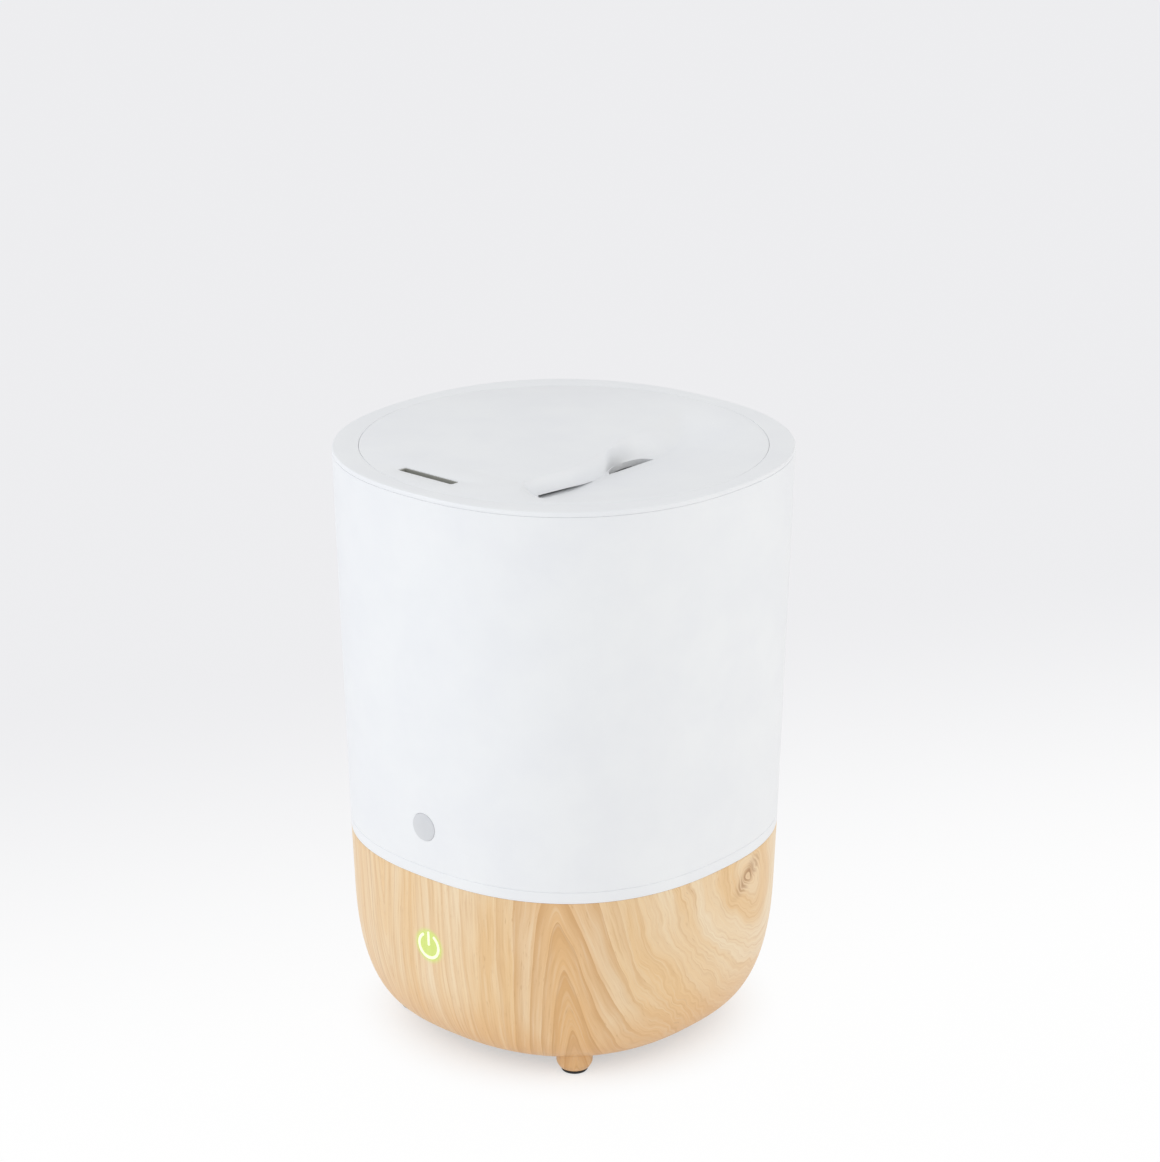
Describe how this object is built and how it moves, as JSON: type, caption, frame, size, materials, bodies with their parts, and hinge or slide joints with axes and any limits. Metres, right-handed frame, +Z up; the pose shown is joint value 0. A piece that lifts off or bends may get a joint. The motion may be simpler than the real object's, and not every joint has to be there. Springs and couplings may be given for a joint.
{
  "type": "cool mist humidifier",
  "caption": "Top-fill ultrasonic cool mist humidifier: tapered white tank on a wood-look bowl base with feet, round sculpted lid with a mist slot and a pour hollow.",
  "frame": {"origin": "on the floor under the middle of the body", "axes": "+Z up through the tank and lid, -Y out of the front face with the touch symbol, +X to its right"},
  "size_m": [0.19, 0.19, 0.263],
  "materials": {
    "white_plastic": "satin white",
    "wood_look_shell": "light oak wood-look print under a satin coat",
    "grey_plastic": "satin light grey",
    "smoke_plastic": "matt smoke grey",
    "dark_plastic": "moulded black",
    "black_rubber": "matt",
    "silicone": "translucent grey",
    "screw_steel": "zinc plated",
    "spring_steel": "bright",
    "aluminium": "plain",
    "piezo_ceramic": "silvered ceramic",
    "circuit_board": "green solder mask",
    "copper_wire": "enamelled winding",
    "wire_cover": "flexible sheath",
    "clear_plastic": "frosted clear",
    "led_lens": "lit lens",
    "lit_symbol": "back-lit symbol",
    "float_foam": "closed-cell foam"
  },
  "bodies": {
    "base": {"base_shell": "wood_look_shell", "foot_pad_1": "black_rubber", "foot_pad_2": "black_rubber", "foot_pad_3": "black_rubber", "foot_pad_4": "black_rubber", "deck_screw_1": "screw_steel", "deck_screw_2": "screw_steel", "deck_screw_3": "screw_steel", "deck_screw_4": "screw_steel", "bottom_plate": "dark_plastic", "plate_screw_1": "screw_steel", "plate_screw_2": "screw_steel", "plate_screw_3": "screw_steel", "plate_screw_4": "screw_steel", "power_symbol_ring": "lit_symbol", "power_symbol_bar": "lit_symbol", "light_guide": "clear_plastic", "power_led": "led_lens", "control_board": "circuit_board", "base_deck": "white_plastic", "transducer_seal": "silicone", "piezo_disc": "piezo_ceramic", "transducer_holder": "aluminium", "transducer_screw_1": "screw_steel", "transducer_screw_2": "screw_steel", "transducer_screw_3": "screw_steel", "float_clip": "white_plastic", "reed_switch": "clear_plastic", "lever_pin": "screw_steel", "blower_housing": "dark_plastic", "blower_cover": "dark_plastic", "fan_motor": "screw_steel", "air_duct": "white_plastic", "driver_board": "circuit_board", "heat_sink": "aluminium", "capacitor": "dark_plastic", "inductor": "copper_wire", "dc_jack": "dark_plastic", "jack_lead": "wire_cover", "transducer_lead": "wire_cover", "control_lead": "wire_cover"},
    "rotor": {"fan_rotor": "dark_plastic"},
    "float": {"level_float": "float_foam"},
    "lever": {"float_lever": "white_plastic", "lever_float": "float_foam"},
    "tank": {"tank_wall": "white_plastic", "badge_disc": "grey_plastic", "tank_floor": "white_plastic", "mist_tube": "white_plastic", "top_collar": "white_plastic", "valve_cage": "white_plastic", "valve_spring": "spring_steel"},
    "valve": {"valve_stem": "white_plastic", "valve_seal": "silicone"},
    "lid": {"lid": "white_plastic", "mist_nozzle": "smoke_plastic"}
  },
  "joints": [
    {"name": "fan_spin", "type": "hinge", "parent": "base", "child": "rotor", "pos_m": [0.021, -0.006, 0.025], "axis": [0, 0, 1], "continuous": true},
    {"name": "float_rise", "type": "slide", "parent": "base", "child": "float", "axis": [0, 0, 1], "range_m": [0, 0.007]},
    {"name": "lever_tilt", "type": "hinge", "parent": "base", "child": "lever", "pos_m": [-0.002, 0.034, 0.0861], "axis": [0, -1, 0], "range_deg": [0, 10.2]},
    {"name": "tank_lift", "type": "slide", "parent": "base", "child": "tank", "axis": [0, 0, 1], "range_m": [0, 0.12]},
    {"name": "valve_travel", "type": "slide", "parent": "tank", "child": "valve", "axis": [0, 0, -1], "range_m": [0, 0.0032], "deforming": ["valve_spring"]},
    {"name": "lid_lift", "type": "slide", "parent": "tank", "child": "lid", "axis": [0, 0, 1], "range_m": [0, 0.07]}
  ],
  "couplings": [
    {"joint": "valve_travel", "follows": "lever_tilt", "m_per_rad": 0.01797}
  ]
}
